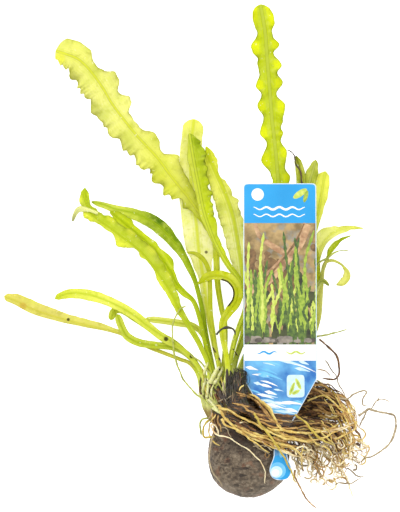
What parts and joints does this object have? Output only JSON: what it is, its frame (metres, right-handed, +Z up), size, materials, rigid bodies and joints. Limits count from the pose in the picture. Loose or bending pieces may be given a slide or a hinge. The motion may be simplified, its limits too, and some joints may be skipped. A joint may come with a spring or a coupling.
{
  "type": "bulb plant",
  "caption": "Water plant lying as picked: round tuber, mass of roots, fan of long ruffled ribbon leaves and a flat plastic plant label.",
  "frame": {"origin": "on the surface that it lies on, in the middle of the tuber's small flat rest face", "axes": "+X to the right, +Y from the tuber towards the tip of the tall leaf, +Z up from the surface"},
  "size_m": [0.166, 0.2136, 0.0329],
  "materials": {
    "cut_scrap": "fresh translucent leaf, satin",
    "dried_arc": "dry and matt",
    "dried_scrap": "dry and matt",
    "dried_thread": "dry and matt",
    "fibre_tuft": "matt tuft of coarse dark fibres",
    "green_thread": "satin thin stalk",
    "leaf_arched": "fresh translucent leaf, satin",
    "leaf_broad_pale": "fresh translucent leaf, satin",
    "leaf_curl": "fresh translucent leaf, satin",
    "leaf_far_left": "fresh translucent leaf, satin",
    "leaf_front": "fresh translucent leaf, satin",
    "leaf_low_arch": "fresh translucent leaf, satin",
    "leaf_mid_pale": "fresh translucent leaf, satin",
    "leaf_pale_strip": "fresh translucent leaf, satin",
    "leaf_right_bend": "fresh translucent leaf, satin",
    "leaf_right_curl": "fresh translucent leaf, satin",
    "leaf_right_folded": "fresh translucent leaf, satin",
    "leaf_right_green": "fresh translucent leaf, satin",
    "leaf_right_olive": "fresh translucent leaf, satin",
    "leaf_right_pale": "fresh translucent leaf, satin",
    "leaf_right_upright": "fresh translucent leaf, satin",
    "leaf_ruffled_behind": "fresh translucent leaf, satin",
    "leaf_ruffled_left": "fresh translucent leaf, satin",
    "leaf_small_tip": "fresh translucent leaf, satin",
    "leaf_stub": "fresh translucent leaf, satin",
    "leaf_tall": "fresh translucent leaf, satin",
    "leaf_upright_pale": "fresh translucent leaf, satin",
    "lock_fringe_far": "matt fibrous bundle of fine roots",
    "lock_fringe_left": "matt fibrous bundle of fine roots",
    "lock_fringe_mid": "matt fibrous bundle of fine roots",
    "lock_fringe_right": "matt fibrous bundle of fine roots",
    "lock_front": "matt fibrous bundle of fine roots",
    "lock_middle": "matt fibrous bundle of fine roots",
    "lock_over": "matt fibrous bundle of fine roots",
    "lock_under": "matt fibrous bundle of fine roots",
    "lock_upper": "matt fibrous bundle of fine roots",
    "pale_fibre": "satin thin stalk",
    "plant_label": "glossy printed plastic",
    "root_arch": "satin fleshy root",
    "root_cross": "satin fleshy root",
    "root_dark_arc": "satin fleshy root",
    "root_face": "satin fleshy root",
    "root_far_loop": "satin fleshy root",
    "root_fork": "satin fleshy root",
    "root_hang_right": "satin fleshy root",
    "root_left_bend": "satin fleshy root",
    "root_left_down": "satin fleshy root",
    "root_left_loop": "satin fleshy root",
    "root_low_arc": "satin fleshy root",
    "root_low_right": "satin fleshy root",
    "root_right_arch": "satin fleshy root",
    "root_right_branch": "satin fleshy root",
    "root_right_hook": "satin fleshy root",
    "root_steep": "satin fleshy root",
    "root_stray": "satin fleshy root",
    "root_top_long": "satin fleshy root",
    "root_top_short": "satin fleshy root",
    "thin_stalk": "satin thin stalk",
    "thin_stalk_right": "satin thin stalk",
    "tuber": "rough brown skin with pits and fibres"
  },
  "bodies": {
    "root": {"cut_scrap": "cut_scrap", "dried_arc": "dried_arc", "dried_scrap": "dried_scrap", "dried_thread": "dried_thread", "fibre_tuft": "fibre_tuft", "green_thread": "green_thread", "leaf_arched": "leaf_arched", "leaf_broad_pale": "leaf_broad_pale", "leaf_curl": "leaf_curl", "leaf_far_left": "leaf_far_left", "leaf_front": "leaf_front", "leaf_low_arch": "leaf_low_arch", "leaf_mid_pale": "leaf_mid_pale", "leaf_pale_strip": "leaf_pale_strip", "leaf_right_bend": "leaf_right_bend", "leaf_right_curl": "leaf_right_curl", "leaf_right_folded": "leaf_right_folded", "leaf_right_green": "leaf_right_green", "leaf_right_olive": "leaf_right_olive", "leaf_right_pale": "leaf_right_pale", "leaf_right_upright": "leaf_right_upright", "leaf_ruffled_behind": "leaf_ruffled_behind", "leaf_ruffled_left": "leaf_ruffled_left", "leaf_small_tip": "leaf_small_tip", "leaf_stub": "leaf_stub", "leaf_tall": "leaf_tall", "leaf_upright_pale": "leaf_upright_pale", "lock_fringe_far": "lock_fringe_far", "lock_fringe_left": "lock_fringe_left", "lock_fringe_mid": "lock_fringe_mid", "lock_fringe_right": "lock_fringe_right", "lock_front": "lock_front", "lock_middle": "lock_middle", "lock_over": "lock_over", "lock_under": "lock_under", "lock_upper": "lock_upper", "pale_fibre": "pale_fibre", "plant_label": "plant_label", "root_arch": "root_arch", "root_cross": "root_cross", "root_dark_arc": "root_dark_arc", "root_face": "root_face", "root_far_loop": "root_far_loop", "root_fork": "root_fork", "root_hang_right": "root_hang_right", "root_left_bend": "root_left_bend", "root_left_down": "root_left_down", "root_left_loop": "root_left_loop", "root_low_arc": "root_low_arc", "root_low_right": "root_low_right", "root_right_arch": "root_right_arch", "root_right_branch": "root_right_branch", "root_right_hook": "root_right_hook", "root_steep": "root_steep", "root_stray": "root_stray", "root_top_long": "root_top_long", "root_top_short": "root_top_short", "thin_stalk": "thin_stalk", "thin_stalk_right": "thin_stalk_right", "tuber": "tuber"}
  },
  "joints": []
}
